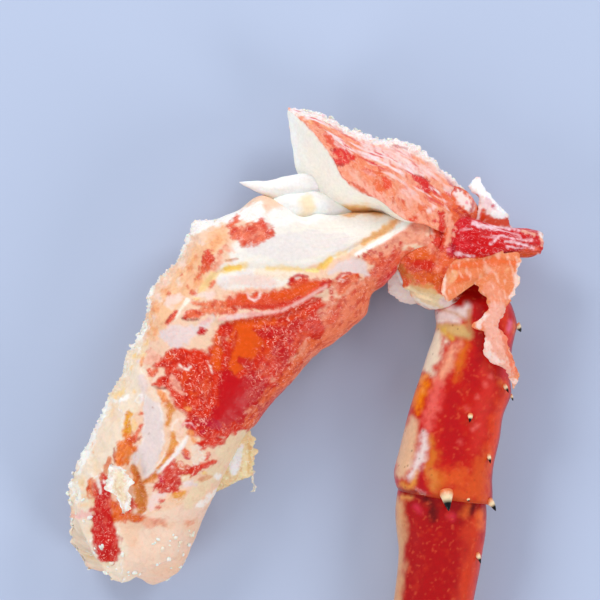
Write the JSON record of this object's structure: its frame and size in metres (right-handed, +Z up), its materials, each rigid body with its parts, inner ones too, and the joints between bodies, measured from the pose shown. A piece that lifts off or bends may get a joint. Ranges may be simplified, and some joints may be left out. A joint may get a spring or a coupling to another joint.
{
  "type": "king crab leg",
  "caption": "Cooked crab leg bent at the knee and lying on its side: bare thigh meat torn open, lower segments still in spiny shell.",
  "frame": {"origin": "middle of the leg's bounding box, on the surface that the leg lies on", "axes": "+Z up from that surface, +Y from the claw up the lower leg towards the knee, +X from the thigh towards the lower leg"},
  "size_m": [0.1544, 0.2978, 0.0358],
  "materials": {
    "meat_white": "moist cooked muscle, satin",
    "meat_red": "wet red skin over cooked muscle",
    "skin_pink": "wet pink skin",
    "membrane_cream": "thin cooked membrane and curd, satin",
    "shell_red": "wet cooked shell",
    "claw_dark": "horn-like claw"
  },
  "bodies": {
    "root": {"merus_meat": "meat_red", "torn_flap": "skin_pink", "inner_lobe": "meat_white", "meat_shard": "meat_white", "knee_knuckle": "meat_red", "skin_roll": "meat_red", "hanging_skin": "skin_pink", "joint_flake": "membrane_cream", "joint_chip": "membrane_cream", "carpus_shell": "shell_red", "propodus_shell": "shell_red", "dactyl_claw": "claw_dark", "membrane_frill": "membrane_cream", "loose_flake": "membrane_cream"}
  },
  "joints": []
}
